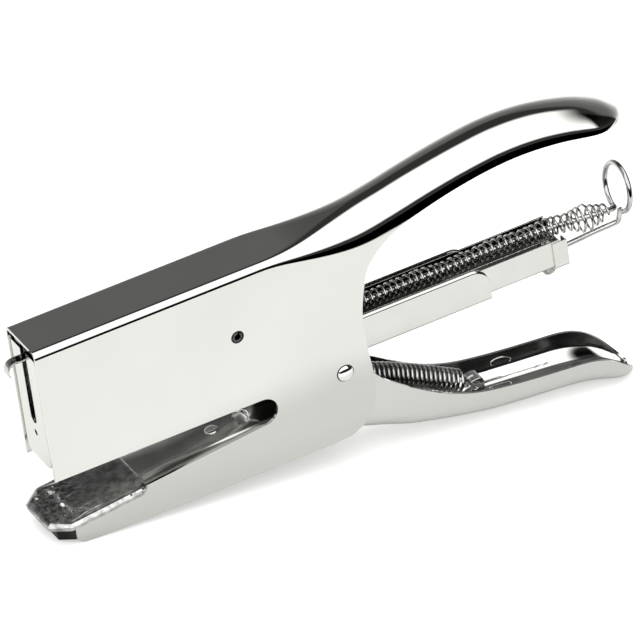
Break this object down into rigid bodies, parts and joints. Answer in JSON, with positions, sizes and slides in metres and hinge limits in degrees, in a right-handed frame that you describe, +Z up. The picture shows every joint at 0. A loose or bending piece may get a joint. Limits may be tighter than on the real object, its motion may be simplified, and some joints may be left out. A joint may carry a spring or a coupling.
{
  "type": "plier stapler",
  "caption": "Chromed pressed-steel plier stapler with a tall head, a pivoting lower handle, a staple magazine and a ring-pull follower.",
  "frame": {"origin": "bottom centre of the stapler's box, on the surface that it stands on", "axes": "+X from the nose towards the handles, +Z up from the surface it stands on, +Y from the pictured side to the far side"},
  "size_m": [0.1876, 0.0226, 0.0907],
  "materials": {
    "polished_chrome": "mirror-polished chrome plating on pressed steel",
    "rivet_chrome": "polished chrome plating on turned steel",
    "magazine_plate": "bright nickel-chrome plating, slightly softer than the frame",
    "spring_wire": "drawn spring wire, bright",
    "bright_wire": "plated wire and strip",
    "jaw_steel": "hardened and plated steel with tool marks",
    "inner_steel": "plain plated steel, satin"
  },
  "bodies": {
    "frame": {"frame_shell": "polished_chrome", "jaw_channel": "jaw_steel", "anvil_plate": "jaw_steel", "nose_guide": "inner_steel", "pivot_rivet": "rivet_chrome", "stop_pin": "inner_steel", "spring_anchor": "inner_steel", "lift_spring": "spring_wire", "lift_rivet": "rivet_chrome"},
    "lower_handle": {"lower_handle": "polished_chrome", "drive_lever": "inner_steel", "lever_spacers": "inner_steel", "lever_rivets": "inner_steel", "spring_tab": "bright_wire", "grip_rivet": "rivet_chrome", "return_spring": "spring_wire"},
    "driver": {"driver_blade": "inner_steel", "driver_carrier": "inner_steel", "driver_hook": "bright_wire", "blade_rivets": "inner_steel"},
    "magazine": {"magazine_channel": "magazine_plate", "magazine_nose": "inner_steel", "staple_core": "inner_steel", "core_rivets": "inner_steel", "magazine_rail": "magazine_plate", "rear_catch": "magazine_plate", "catch_hook": "magazine_plate", "pivot_spacer": "inner_steel"},
    "follower": {"follower_rod": "bright_wire", "follower_spring": "spring_wire"},
    "pusher": {"staple_pusher": "inner_steel"}
  },
  "joints": [
    {"name": "handle_squeeze", "type": "hinge", "parent": "frame", "child": "lower_handle", "pos_m": [0.00261, 0, 0.02981], "axis": [0, -1, 0], "range_deg": [0, 14.5], "stiffness_Nm_per_rad": 2.5, "springref_deg": -14.32, "deforming": ["return_spring"]},
    {"name": "magazine_swing", "type": "hinge", "parent": "frame", "child": "magazine", "pos_m": [0.00261, 0, 0.02981], "axis": [0, -1, 0], "range_deg": [0, 9.6]},
    {"name": "driver_slide", "type": "slide", "parent": "frame", "child": "driver", "axis": [0.1219, 0, -0.9925], "range_m": [0, 0.0205]},
    {"name": "follower_pull", "type": "slide", "parent": "magazine", "child": "follower", "axis": [0.9925, 0, 0.1219], "range_m": [0, 0.1]},
    {"name": "pusher_slide", "type": "slide", "parent": "follower", "child": "pusher", "axis": [0.9925, 0, 0.1219], "range_m": [0, 0.08], "stiffness_N_per_m": 15, "springref_m": -0.03, "deforming": ["follower_spring"]}
  ],
  "couplings": [
    {"joint": "magazine_swing", "follows": "handle_squeeze", "ratio": 0.6483},
    {"joint": "driver_slide", "follows": "handle_squeeze", "m_per_rad": 0.07895}
  ]
}
